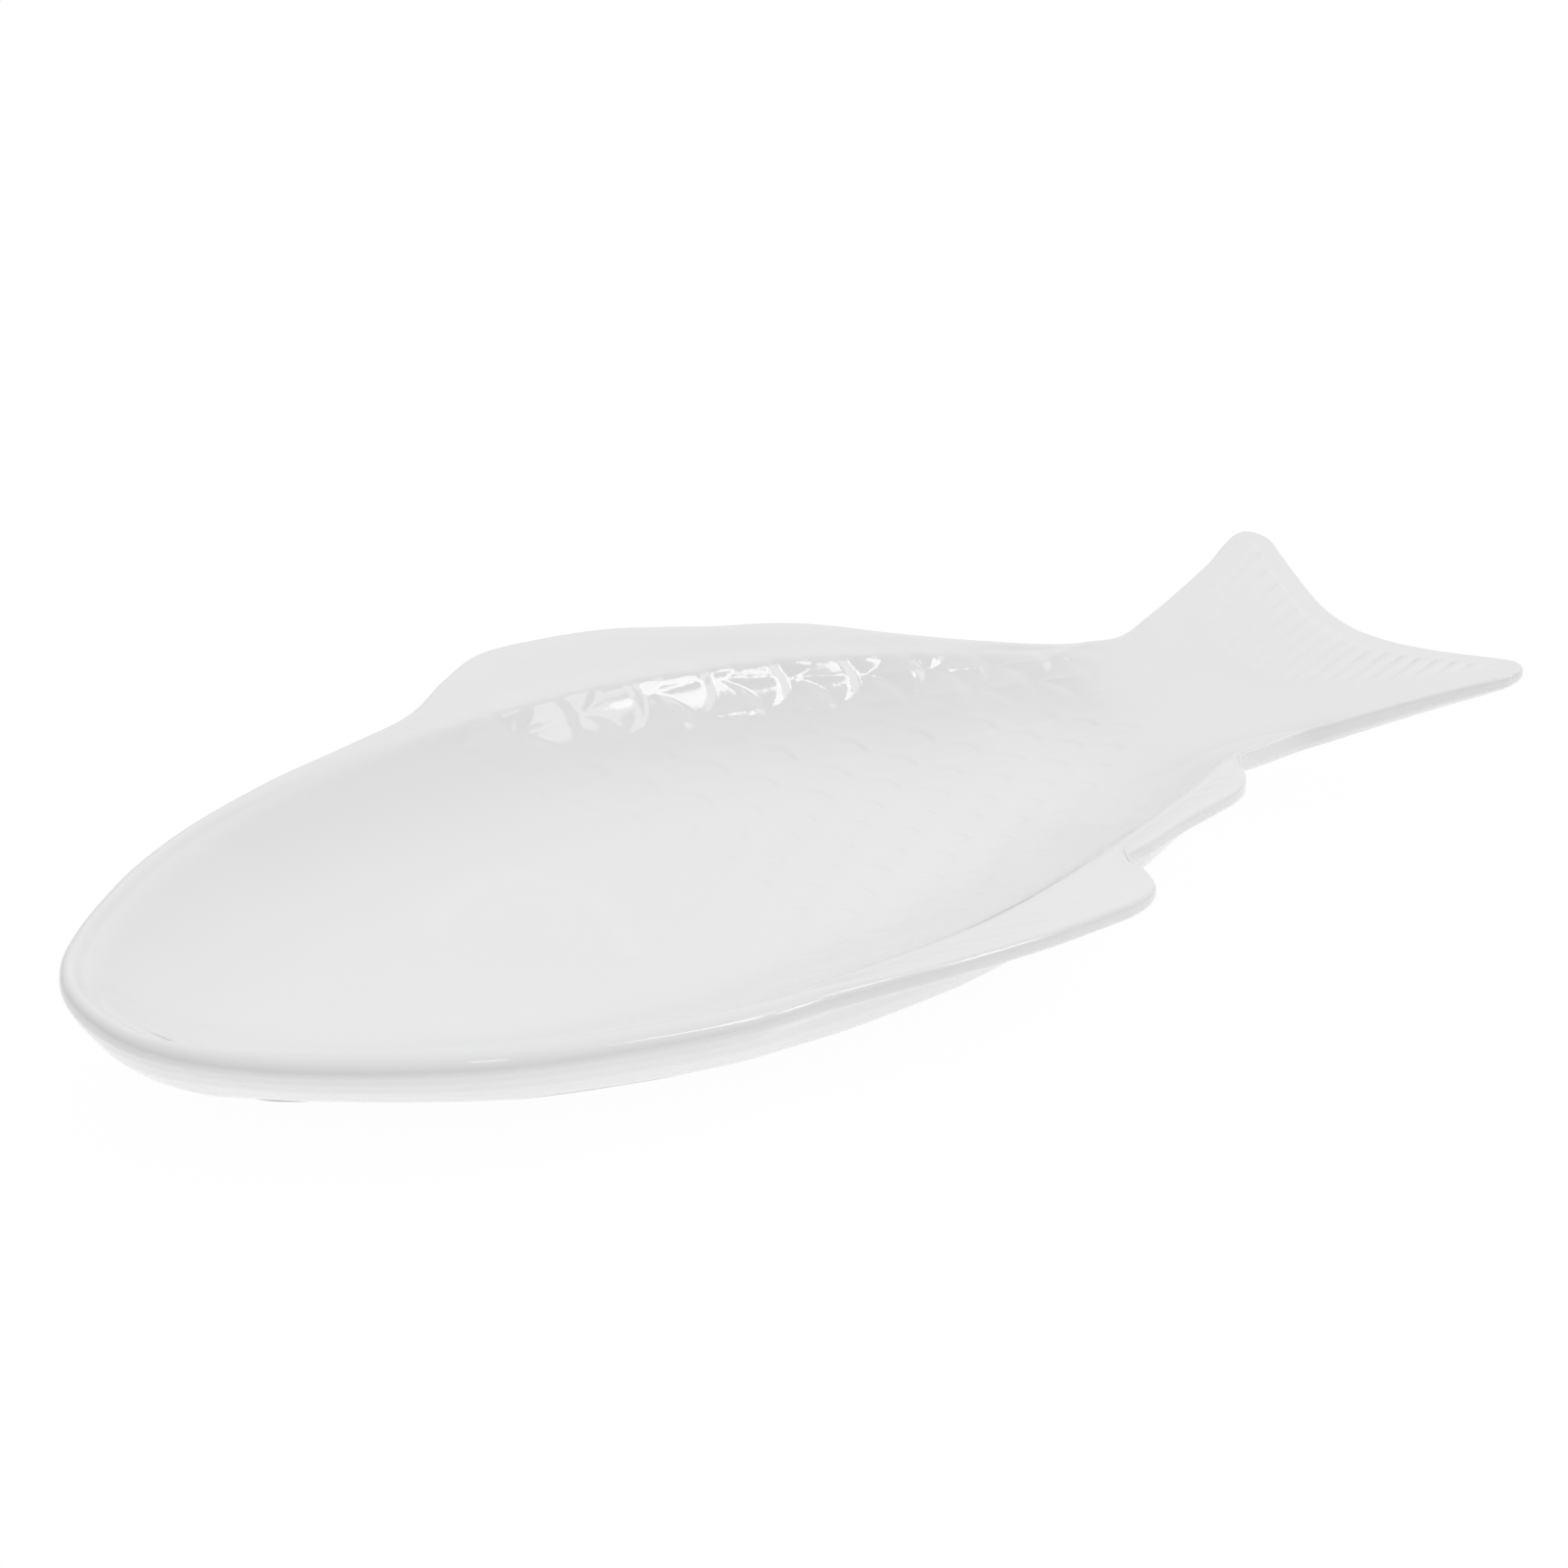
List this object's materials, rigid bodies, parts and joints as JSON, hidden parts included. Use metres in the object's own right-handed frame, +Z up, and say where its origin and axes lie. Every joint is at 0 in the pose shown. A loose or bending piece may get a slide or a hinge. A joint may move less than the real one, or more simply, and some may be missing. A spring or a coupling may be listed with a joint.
{
  "type": "fish shaped platter",
  "caption": "Fish shaped serving platter in white glazed porcelain, with a shallow well, fin ledges, a forked tail and an oval foot ring.",
  "frame": {"origin": "centre of the overall box, on the table that the foot ring stands on", "axes": "+X from the nose to the tail, +Y from the belly side to the dorsal fin, +Z up out of the well"},
  "size_m": [0.2998, 0.1588, 0.0283],
  "materials": {
    "glazed_porcelain": "clear gloss glaze over white porcelain",
    "foot_porcelain": "glazed on its sides, bare and smooth where it stands"
  },
  "bodies": {
    "root": {"dish_body": "glazed_porcelain", "dorsal_fin": "glazed_porcelain", "pelvic_fin": "glazed_porcelain", "anal_fin": "glazed_porcelain", "tail_fin": "glazed_porcelain", "foot_ring": "foot_porcelain"}
  },
  "joints": []
}
